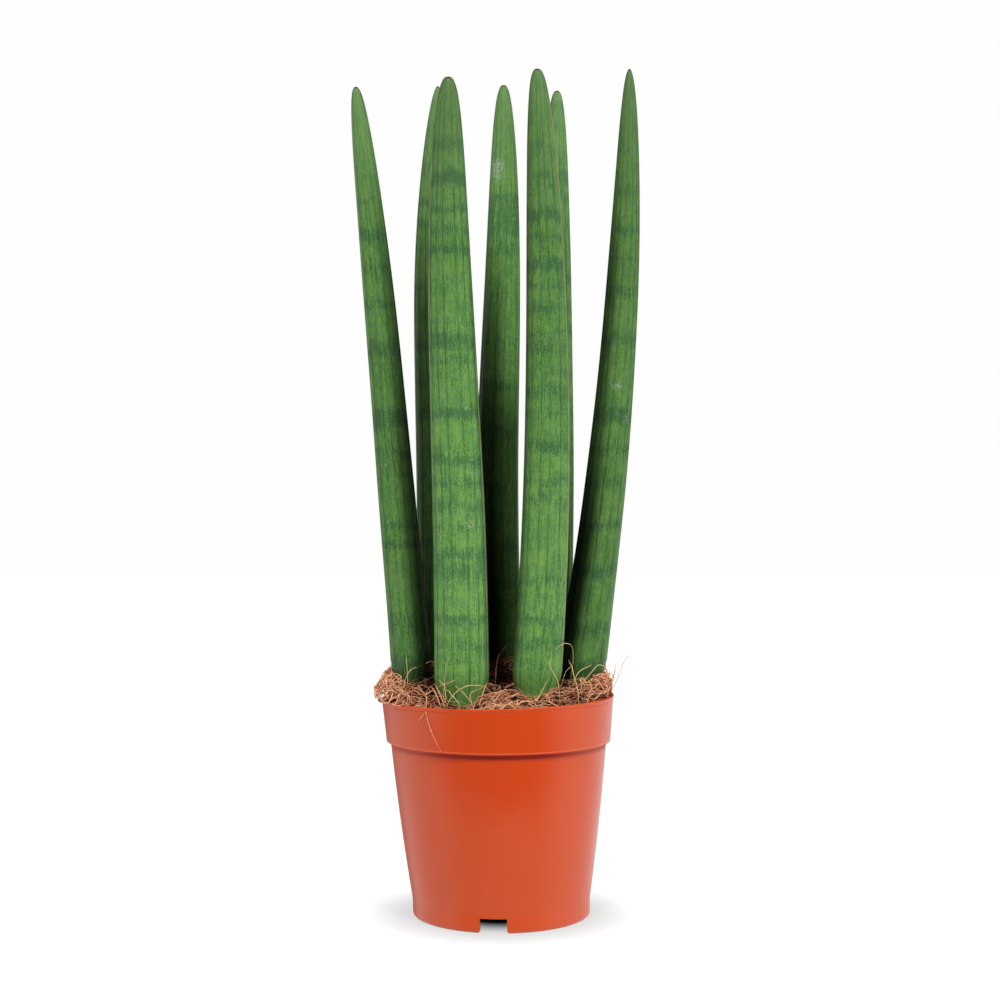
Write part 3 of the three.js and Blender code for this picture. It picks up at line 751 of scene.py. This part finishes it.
def make_leaf(index, name, leaf):
    random = np.random.default_rng(SEED.leaves + index)
    share = leaf_stations(leaf.length)[:, None]
    angle = np.linspace(-np.pi, np.pi, LEAF.sides, endpoint=False)[None, :]

    # The furrows aren't quite evenly spaced, and the phase is 0 in the middle of each.
    waves = random.uniform(0, 2 * np.pi, 4)
    phase = LEAF.furrows * angle + np.pi
    for waves_round, drift, start in zip((2, 5), LEAF.furrow_drift, waves):
        phase = phase + drift * np.sin(waves_round * angle + start)
    wrapped = np.angle(np.exp(1j * phase))
    ribs = np.floor(phase / (2 * np.pi)).astype(int) % LEAF.furrows
    furrow = LEAF.furrow_depth * np.exp(-((wrapped / LEAF.furrow_width) ** 2))
    crown = LEAF.rib_crown * (0.5 + 0.5 * np.cos(wrapped))
    channel = LEAF.channel_depth * np.exp(-((np.abs(angle - np.pi / 2) / LEAF.channel_half_angle) ** 2))
    uneven = LEAF.unevenness * np.sin(share * 19 + waves[2]) * np.sin(2 * angle + waves[3])
    widths = leaf_widths(leaf, share)
    size = (1 - furrow - crown - channel * (1 - np.maximum(share, 0)) + uneven) * widths
    centres = leaf_centres(leaf, share)
    across = leaf.broad / 2 * (size * np.cos(angle))[..., None] * leaf.broad_axis
    across = across + leaf.narrow / 2 * (size * np.sin(angle))[..., None] * leaf.narrow_axis
    points = centres + across
    x, y, heights = np.moveaxis(points, -1, 0)

    scuff = 0
    for spot_x, spot_height, half_width, half_height, strength in SCUFFS.get(name, []):
        away = ((x - spot_x) / half_width) ** 2 + ((heights - spot_height) / half_height) ** 2
        scuff = np.maximum(scuff, strength * np.exp(-away) * (y < centres[..., 1]))
    up = share * leaf.length
    side_on = np.maximum(facing(leaf, angle, 0), facing(leaf, angle, 180))
    below_tip = leaf.length - up
    dry_edge = smoothstep(side_on, *LEAF.dry_sides) * smoothstep(below_tip, *LEAF.dry_edge)
    dryness = np.maximum(LEAF.dry_strength * dry_edge, smoothstep(below_tip, *LEAF.dry_tip))
    bands = BANDS.get(name) or drawn_bands(leaf, random)
    radius = (leaf.broad + leaf.narrow) / 4

    def filled(values, *ends):
        """Values for every point ring by ring, and for the two end points, by default as next to them."""
        values = np.broadcast_to(values, heights.shape)
        return np.append(values, ends or values[[0, -1], 0])

    unrolled = (radius * np.cos(angle), radius * np.sin(angle), up + LEAF.grain_apart * index)
    attributes = {
        "place": np.stack([filled(values) for values in unrolled], axis=-1),
        "furrow": np.stack([filled(values) for values in (np.cos(phase), np.sin(phase), 0)], axis=-1),
        "band": filled(band_strengths(bands, heights, ribs, random), 0, 0),
        "edge_reflection": filled(painted_edge_reflections(leaf, angle, heights, radius * widths), 0, 0),
        "scuff": filled(scuff, 0, 0),
        "dryness": filled(dryness, 0, 1),
        "bloom": filled(smoothstep(share, *LEAF.bloom), 0, 1),
        "tone": filled(np.interp(share, [0, 0.5, 1], leaf.tone) * painted_leaf_shade(leaf, angle, heights), 1, 1),
    }
    ends = leaf_centres(leaf, np.array([share[0, 0], 1.0]))
    flat = np.concatenate([points.reshape(-1, 3), ends])
    keep(add_mesh(name + "_skin", flat, closed_faces(*heights.shape), LEAF_SKIN, attributes), "leaf", name)


# ---- the pot


def rounded(corners):
    """A profile of (radius, height) points from (radius, height, rounding) corners."""
    points = []
    for index, (radius, height, rounding) in enumerate(corners):
        here = np.array([radius, height], float)
        if rounding == 0:
            points.append(here)
            continue
        start, end = (here + rounding * unit(np.array(corners[i][:2]) - here) for i in (index - 1, index + 1))
        for share in np.linspace(0, 1, 6):
            points.append((1 - share) ** 2 * start + 2 * share * (1 - share) * here + share**2 * end)
    return points


def between(low, high):
    """Five corners without rounding, evenly spaced between two others."""
    return [(*lerp(np.array(low), np.array(high), i / 6), 0) for i in range(1, 6)]


def pot_profile():
    """The pot's section from the middle of the floor's top, over the lip and round to its underside."""
    wall, top, lip, foot = POT.wall, POT.height, POT.rim_radius, POT.foot_radius
    inner_band = (BAND_RADIUS - wall, BAND_FOOT)
    under_bead = (lip + 0.1, top - 2.4)
    bead = lip + POT.lip_bead
    corners = [(0, FLOOR_TOP, 0), (foot - wall, FLOOR_TOP, 1.5), (WALL_TOP_RADIUS - wall, LEDGE_FOOT, 1.2)]
    corners += [(*inner_band, 0.8), *between(inner_band, (lip - wall, top))]
    corners += [(lip - wall, top, 0.45), (bead, top, 0.5), (bead, top - 1.3, 0.3)]
    corners += [(lip, top - 1.7, 0.25), (*under_bead, 0.4), *between(under_bead, (BAND_RADIUS, BAND_FOOT))]
    corners += [(BAND_RADIUS, BAND_FOOT - 0.3, 0.35), (WALL_TOP_RADIUS + 0.35, BAND_FOOT - 0.9, 0.3)]
    corners += [(WALL_TOP_RADIUS, LEDGE_FOOT, 1.2)]
    for share in np.linspace(0, 1, 14)[1:-1]:
        radius = lerp(WALL_TOP_RADIUS, foot, share) + 4 * POT.wall_bulge * share * (1 - share)
        corners.append((radius, lerp(LEDGE_FOOT, POT.foot_height, share), 0))
    ring = foot - POT.foot_ring_width
    corners += [(foot, POT.foot_height, 2.5), (foot, 0, POT.foot_rounding)]
    corners += [(ring, 0, 0.5), (ring, POT.floor_lift, 0.8), (0, POT.floor_lift, 0)]
    return rounded(corners)


def lip_lean(points):
    """The lip leans a little, fading out at the foot of the band."""
    share = smoothstep(points[:, 2], BAND_FOOT, POT.height)
    points[:, 2] += POT.lip_lean * points[:, 0] / POT.rim_radius * share
    return points


def extruded(outline, depth):
    """A prism along X over a closed outline of (y, z) points."""
    count = len(outline)
    points = [(x, y, z) for x in (-depth / 2, depth / 2) for y, z in outline]
    faces = [tuple(range(count)), tuple(range(2 * count - 1, count - 1, -1))]
    for i in range(count):
        following = (i + 1) % count
        faces.append((i, i + count, following + count, following))
    return np.array(points, float), faces


def notch_outline():
    half, corner, height = NOTCH.width / 2, NOTCH.corner, NOTCH.height
    bend = np.linspace(0, np.pi / 2, 7)
    left = [(-half - corner + corner * math.sin(a), corner - corner * math.cos(a)) for a in bend]
    right = [(-y, z) for y, z in reversed(left)]
    return [(-half - corner, -1), *left, (-half, height), (half, height), *right, (half + corner, -1)]


def spun(points, degrees):
    turn = math.radians(degrees)
    spin = np.array([[math.cos(turn), -math.sin(turn), 0], [math.sin(turn), math.cos(turn), 0], [0, 0, 1]])
    return points @ spin.T


def pot_cutters():
    """The notches in the foot ring and the drain holes in the floor, as (points, faces)."""
    notch, notch_faces = extruded(notch_outline(), 4 * POT.foot_ring_width)
    notch = notch + [POT.foot_radius, 0, 0]
    hole, hole_faces = extruded(level_ring(DRAIN.radius, 0, DRAIN.sides)[:, :2], DRAIN.depth)
    hole = hole[:, [2, 1, 0]] + [DRAIN.ring_radius, 0, POT.floor_lift + POT.wall / 2]
    cutters = []
    for kind, points, faces in (NOTCH, notch, notch_faces), (DRAIN, hole, turned_over(hole_faces)):
        for i in range(kind.count):
            cutters.append((spun(points, kind.first_deg + i * 360 / kind.count), faces))
    return cutters


def cut(piece, cutters):
    """Takes every cutter out of a piece."""
    tool = add_mesh("cutter", *merged(cutters), POT_PLASTIC)
    modifier = piece.modifiers.new("cut", "BOOLEAN")
    modifier.operation = "DIFFERENCE"
    modifier.solver = "EXACT"
    modifier.object = tool
    graph = bpy.context.evaluated_depsgraph_get()
    baked = bpy.data.meshes.new_from_object(piece.evaluated_get(graph))
    piece.modifiers.clear()
    piece.data = baked
    bpy.data.objects.remove(tool)


def shift_mesh(mesh):
    """Sets a finished mesh askew as the pot stands."""
    flat = np.empty(3 * len(mesh.vertices), np.float32)
    mesh.vertices.foreach_get("co", flat)
    moved = askew(flat.reshape(-1, 3) / MM) * MM
    mesh.vertices.foreach_set("co", moved.astype(np.float32).ravel())
    mesh.update()


def sharpen(mesh, degrees):
    """Keeps edges sharper than an angle crisp, and everything else smooth."""
    work = bmesh.new()
    work.from_mesh(mesh)
    for edge in work.edges:
        edge.smooth = edge.calc_face_angle(0) < math.radians(degrees)
    work.to_mesh(mesh)
    work.free()


def make_pot():
    profile = pot_profile()
    rings = [level_ring(radius, height, POT.sides) for radius, height in profile[1:-1]]
    points = np.concatenate([*rings, [(0, 0, profile[0][1]), (0, 0, profile[-1][1])]])
    faces = turned_over(closed_faces(len(rings), POT.sides))
    piece = add_mesh("pot_shell", lip_lean(points), faces, POT_PLASTIC)
    cut(piece, pot_cutters())
    shift_mesh(piece.data)
    sharpen(piece.data, POT.sharp_deg)
    keep(piece, "pot_plastic", "pot")


# ---- soil


def heaped(x, y, heaps):
    """The sum of soft round heaps at (x, y, radius, height)."""
    total = 0 * x
    for centre_x, centre_y, radius, height in heaps:
        total = total + height * np.exp(-((x - centre_x) ** 2 + (y - centre_y) ** 2) / radius**2)
    return total


def mound_height(x, y):
    """The top of the coir."""
    edge = np.clip((np.hypot(x, y) - MOUND.edge_from) / (MOUND.edge_to - MOUND.edge_from), 0, 1)
    lumps = np.sin(x / 7 + 1) * np.cos(y / 6 + 2) + 0.6 * np.sin((x + y) / 4)
    middle = MOUND.crown + MOUND.slope * y + MOUND.lump_height * lumps
    rim = lerp(MOUND.edge_front, MOUND.edge_back, smoothstep(y, *MOUND.edge_turn))
    return lerp(middle, rim, edge**MOUND.edge_sharpness) + heaped(x, y, SWELLS)


def soil_height(x, y):
    edge = smoothstep(np.hypot(x, y), SOIL.edge_from, SOIL.radius)
    heap = SOIL.back_heap * smoothstep(y, *SOIL.heap_turn)
    return lerp(mound_height(x, y) - SOIL.below_coir, SOIL.edge_height + heap, edge)


def bumpy(x, y):
    """A repeatable roughness: a sum of waves in random directions."""
    random = np.random.default_rng(SEED.bumps)
    total = 0 * x
    for _ in range(SOIL.waves):
        bearing = random.uniform(0, 2 * np.pi)
        wavelength = random.uniform(*SOIL.wavelength)
        shift = random.uniform(0, 2 * np.pi)
        total += np.sin((x * np.cos(bearing) + y * np.sin(bearing)) * 2 * np.pi / wavelength + shift)
    return total * SOIL.roughness / math.sqrt(SOIL.waves)


def make_soil(random):
    inset = POT.wall + SOIL.gap
    rows = [
        level_ring(POT.foot_radius - inset, FLOOR_TOP + SOIL.gap, SOIL.sides),
        level_ring(WALL_TOP_RADIUS - inset, LEDGE_FOOT, SOIL.sides),
        level_ring(BAND_RADIUS - inset, BAND_FOOT, SOIL.sides),
    ]
    for radius in np.linspace(SOIL.radius, SOIL.innermost, SOIL.rings):
        row = level_ring(radius, 0, SOIL.sides)
        calm = min(1, (SOIL.radius - radius) / 3)
        row[:, 2] = soil_height(row[:, 0], row[:, 1]) + calm * bumpy(row[:, 0], row[:, 1])
        rows.append(row)
    points = np.concatenate([*rows, [(0, 0, FLOOR_TOP + SOIL.gap), (0, 0, rows[-1][:, 2].mean())]])
    faces = closed_faces(len(rows), SOIL.sides)
    piece = add_mesh("soil_bed", askew(points), faces, PEAT, {"shade": np.zeros(len(points))})
    keep(piece, "soil", "soil")
    scatter("soil_crumbs", random, PEAT, count=1500, sizes=(0.5, 1.6), lift=-0.2)
    scatter("peat_on_coir", random, PEAT, count=520, sizes=(0.5, 1.3), lift=1.7, lighter=0.25)
    scatter("perlite_bits", random, PERLITE, count=16, sizes=(0.7, 1.3), lift=2.4)


def scatter(name, random, material, count, sizes, lift, lighter=0):
    """Knobbly little lumps scattered over the soil, clear of the leaves."""
    ball = bmesh.new()
    bmesh.ops.create_icosphere(ball, subdivisions=1, radius=1)
    corners = np.array([v.co for v in ball.verts])
    triangles = [tuple(v.index for v in f.verts) for f in ball.faces]
    ball.free()
    lumps, shades = [], []
    while len(lumps) < count:
        radius = SOIL.crumb_reach * math.sqrt(random.uniform(0, 1))
        bearing = random.uniform(0, 2 * np.pi)
        x, y = radius * math.cos(bearing), radius * math.sin(bearing)
        size = random.uniform(*sizes) * random.uniform(0.6, 1)
        at = askew([[x, y, float(soil_height(x, y)) + lift + size * 0.4]])
        if min(leaf_offsets(leaf, at)[2][0] for leaf in LEAVES.values()) < SOIL.clear_of_leaves:
            continue
        lump = corners * random.uniform(0.65, 1.25, (len(corners), 1)) * random.uniform(0.7, 1.2, 3) * size
        lumps.append((lump + at, triangles))
        shades.append(np.full(len(corners), random.uniform(-0.15, 0.3) + lighter))
    keep(add_mesh(name, *merged(lumps), material, {"shade": np.concatenate(shades)}), "soil")


# ---- coir


def clear_of_plant(paths, radii):
    """Sets many strands askew with the pot, and keeps them clear of the leaves and off the pot's lip."""
    points = askew(paths.reshape(-1, 3))
    reach = np.repeat(radii, paths.shape[1])
    for leaf in LEAVES.values():
        centres, offset, apart, widths = leaf_offsets(leaf, points)
        wanted = 1 + reach / (leaf.narrow / 2 * widths) + 0.01
        push = np.where(apart < wanted, wanted / np.maximum(apart, 0.05), 1)[:, None]
        moved = centres + offset * push
        fall = mound_height(moved[:, 0], moved[:, 1]) - mound_height(points[:, 0], points[:, 1])
        points[:, 2] += np.minimum(fall, 0)
        points[:, :2] = moved[:, :2]
    from_axis = points[:, 0] - POT.askew[1]
    lip = POT.height + POT.lip_lean * from_axis / POT.rim_radius
    over = np.hypot(from_axis, points[:, 1]) > POT.rim_radius - POT.wall - reach - 0.2
    points[:, 2] = np.where(over, np.maximum(points[:, 2], lip + reach + COIR.lip_gap), points[:, 2])
    return points.reshape(paths.shape)


def tubes(paths, radii):
    """Points and faces of one closed four-sided tube along each path. Radii is one number for each path."""
    count, steps, _ = paths.shape
    tangent = unit(np.gradient(paths, axis=1))
    reference = np.zeros_like(tangent)
    reference[..., 2] = 1
    steep = np.abs(tangent[:, :, 2]).mean(axis=1) > 0.75
    reference[steep] = (0.6, 0.8, 0)
    side = unit(np.cross(tangent, reference))
    over = np.cross(side, tangent)
    from_end = np.minimum(np.arange(steps), np.arange(steps)[::-1]) / (steps - 1)
    taper = lerp(COIR.end_width, 1, smoothstep(from_end, -0.02, COIR.end_share))
    turn = circle(4)
    ring = side[:, :, None] * np.cos(turn)[:, None] + over[:, :, None] * np.sin(turn)[:, None]
    points = paths[:, :, None] + ring * (radii[:, None, None, None] * taper[:, None, None])
    block = np.arange(steps * 4).reshape(steps, 4)
    low, high = block[:-1], block[1:]
    quads = np.stack([low, np.roll(low, -1, 1), np.roll(high, -1, 1), high], -1).reshape(-1, 4)
    quads = np.concatenate([quads, [block[0][::-1], block[-1]]])
    faces = (quads[None] + (np.arange(count) * steps * 4)[:, None, None]).reshape(-1, 4)
    return points.reshape(-1, 3), faces.tolist()


def wandering(
    random, count, steps, stride, reach, curl, wobble, lift, arch, ripple,
    bearing=(0, 360), along_rim=0, furthest=COIR.reach,
):
    """Paths of strands that lie on the mound, each with its own curl, height and arch."""
    place = np.radians(random.uniform(*bearing, count))
    x = MOUND.edge_to * np.sqrt(random.uniform(*reach, count)) * np.cos(place)
    y = np.tan(place) * x
    heading = random.uniform(0, 2 * np.pi, count)
    heading = np.where(random.uniform(0, 1, count) < along_rim, place + np.pi / 2, heading)
    bend = random.normal(0, curl, count)
    step = random.uniform(*stride, count)
    height = random.uniform(*lift, count)
    hump = random.uniform(*arch, count)
    waves = ripple * np.sin(np.arange(steps) * random.uniform(0.5, 1.5, (count, 1)) + place[:, None])
    turns = random.normal(0, wobble, (count, steps))
    rows = []
    for i in range(steps):
        outside = np.maximum(np.hypot(x, y) / furthest, 1)
        x, y = x / outside, y / outside
        z = mound_height(x, y) + height + hump * math.sin(math.pi * i / (steps - 1)) + waves[:, i]
        rows.append(np.stack([x, y, z], -1))
        heading = heading + bend + turns[:, i]
        x = x + step * np.cos(heading)
        y = y + step * np.sin(heading)
    return smoothed(np.stack(rows, 1))


def smoothed(paths):
    """Takes the corners off, and keeps the ends."""
    middle = (paths[:, :-2] + 2 * paths[:, 1:-1] + paths[:, 2:]) / 4
    return np.concatenate([paths[:, :1], middle, paths[:, -1:]], axis=1)


def curve_through(knots, count):
    """A smooth curve of count points through a few knots."""
    knots = np.array(knots, float)
    padded = np.concatenate([2 * knots[:1] - knots[1:2], knots, 2 * knots[-1:] - knots[-2:-1]])
    place = np.linspace(0, len(knots) - 1, count)
    start = np.minimum(place.astype(int), len(knots) - 2)
    t = (place - start)[:, None]
    before, here, there, after = (padded[start + i] for i in range(4))
    return 0.5 * (
        2 * here
        + (there - before) * t
        + (2 * before - 5 * here + 4 * there - after) * t**2
        + (3 * here - before - 3 * there + after) * t**3
    )


def drawn_strands(random, radius, shade, **course):
    """Paths, radii and shades of one family of strands."""
    paths = wandering(random, **course)
    radii = random.uniform(*radius, len(paths))
    paths = clear_of_plant(paths, radii)
    # Painted shade: strands lying lower in the tangle are darker, and so are those near the rim inside the
    # pot.
    above = (paths[..., 2] - mound_height(paths[..., 0], paths[..., 1])).mean(axis=1)
    shades = random.uniform(*shade, len(paths)) + COIR.height_shade * (above + COIR.mean_depth)
    x, y, _ = paths[:, course["steps"] // 2].T
    if "furthest" not in course:
        shades = shades - COIR.rim_shade * smoothstep(np.hypot(x, y), *COIR.rim_ring)
    # Painted light and shade in patches.
    return paths, radii, np.minimum(shades + heaped(x, y, PAINTED_COIR_LIGHT), 1)


def stray_fibres():
    """The fibres that stand out of the tangle one by one, as listed."""
    paths = np.stack([curve_through(knots, COIR.stray_points) for _, _, *knots in STRAYS])
    radii, shades = np.array([fibre[:2] for fibre in STRAYS]).T
    return paths, COIR.stray_width * radii, shades


def strand_piece(name, *families):
    """One mesh of many strands. Each family is (paths, radii, shades)."""
    points, faces = merged([tubes(paths, radii) for paths, radii, _ in families])
    shades = np.concatenate([np.repeat(shades, 4 * paths.shape[1]) for paths, _, shades in families])
    keep(add_mesh(name, points, faces, FIBRE, {"shade": shades}), "coir", "coir_mulch")


def make_coir(random):
    strand_piece("coir_mat", drawn_strands(random, **UNDER_STRANDS))
    strand_piece("coir_tangle", drawn_strands(random, **MAIN_STRANDS))
    loose = [drawn_strands(random, **family) for family in LOOSE_STRANDS]
    strand_piece("coir_strands", *loose, stray_fibres())


# ---- build the plant

make_pot()
make_soil(np.random.default_rng(SEED.soil))
make_coir(np.random.default_rng(SEED.coir))
for leaf_index, leaf_name in enumerate(LEAVES):
    make_leaf(leaf_index, leaf_name, LEAVES[leaf_name])

# ---- camera, floor and light

# The rings of the painted shadow round the foot and under the pot are in metres from the middle.
FLOOR = Values(
    half_width=4000, paint=0.1, shade_ring=(0.04, 0.082), near_glow=0.625, far_glow=1.0,
    covered_ring=(0.021, 0.043), contact_radius=45, contact_depth=0.2, contact_paint=0.05,
)

# How bright the surroundings are, how far the directions turn from the front to the side, down to the ground
# and from the horizon to the ground, and the dimmer direction at the back on the left.
WORLD = Values(
    front=0.02, ground=1.33, back=0.05, back_left=0.25, seen=0.99, to_side=(-0.75, -0.3),
    to_below=(-0.38, -0.6), to_ground=(0.05, -0.1), left_direction=(-0.25, 0.97, 0),
    to_left=(0.8, 0.95),
)

# name, azimuth, elevation, distance, width and height in metres, power
SOFTBOXES = [
    ("key_left", -20, 46, 5.0, (1.0, 1.0), 137),
    ("key_right", 30, 46, 5.0, (1.0, 1.0), 185),
    ("side_left", -70, 15, 3.0, (1.2, 1.2), 10),
    ("side_right", 70, 15, 3.0, (1.2, 1.2), 16),
    ("edge_right", 105, 15, 3.0, (1.2, 1.2), 9),
    ("back_left", -130, 15, 3.0, (1.0, 1.2), 11),
]
LIGHT_AIM = (0, 0, 0.25)

scene = bpy.context.scene
scene.view_settings.view_transform = "Standard"

camera = bpy.data.objects.new("camera", bpy.data.cameras.new("camera"))
camera.data.lens = 62.1
camera.data.sensor_width = 36
camera.location = (0, -0.9, 0.215)
camera.rotation_euler = (math.pi / 2, 0, 0)
scene.collection.objects.link(camera)
scene.camera = camera


def make_floor():
    """White and evenly lit far from the plant, with a little grey painted shadow round the foot and dark
    painted shadow under the pot.
    """
    s = Shader("studio_floor")
    away = s.vector_math("LENGTH", s.place())
    glow = s.ranged(away, *FLOOR.shade_ring, FLOOR.near_glow, FLOOR.far_glow)
    paint = s.finish(
        Base_Color=(FLOOR.paint,) * 3,
        Roughness=0.9,
        Specular_IOR_Level=0.0,
        Emission_Color=(1, 1, 1),
        Emission_Strength=s.times(glow, s.ranged(away, *FLOOR.covered_ring)),
    )
    half = FLOOR.half_width
    corners = [(-half, -half, 0), (half, -half, 0), (half, half, 0), (-half, half, 0)]
    floor = add_mesh("studio_floor", corners, [(0, 1, 2, 3)], paint)
    floor.visible_glossy = False
    floor.visible_diffuse = False

    # A dark disc just under the floor keeps light from below off the pot's underside.
    ring = level_ring(FLOOR.contact_radius, -FLOOR.contact_depth, 64)
    dark = Shader("studio_contact")
    paint = dark.finish(Base_Color=(FLOOR.contact_paint,) * 3, Roughness=0.9)
    add_mesh("studio_contact", ring, [tuple(range(len(ring)))], paint)


def make_softbox(name, azimuth, elevation, distance, size, power):
    """A rectangular light that aims at the plant's middle. Azimuth 0 is in front, and 90 on the right."""
    turn, tilt = math.radians(azimuth), math.radians(elevation)
    outward = np.array([math.sin(turn) * math.cos(tilt), -math.cos(turn) * math.cos(tilt), math.sin(tilt)])
    light = bpy.data.lights.new(name, "AREA")
    light.shape = "RECTANGLE"
    light.size, light.size_y = size
    light.energy = power
    softbox = bpy.data.objects.new(name, light)
    softbox.location = np.array(LIGHT_AIM) + distance * outward
    softbox.rotation_euler = Vector(-outward).to_track_quat("-Z", "Y").to_euler()
    softbox.visible_camera = False
    scene.collection.objects.link(softbox)


def make_world():
    """Dim in front of the plant, bright beside and behind it, and near white where the camera looks."""
    s = Shader("studio", "worlds", "Background")
    direction = s.add("ShaderNodeTexCoord", output="Generated")
    _, forwards, upwards = s.parts(direction)
    towards_left = s.vector_math("DOT_PRODUCT", direction, WORLD.left_direction)
    behind = s.ranged(upwards, *WORLD.to_ground, WORLD.back, WORLD.ground)
    behind = s.times(behind, s.ranged(towards_left, *WORLD.to_left, 1.0, WORLD.back_left))
    open_side = s.largest(s.ranged(forwards, *WORLD.to_side), s.ranged(upwards, *WORLD.to_below))
    light = s.between(open_side, WORLD.front, behind)
    in_view = s.add("ShaderNodeLightPath", output="Is Camera Ray")
    scene.world = s.finish(Color=(1, 1, 1), Strength=s.between(in_view, light, WORLD.seen))


make_floor()
make_world()
for softbox in SOFTBOXES:
    make_softbox(*softbox)
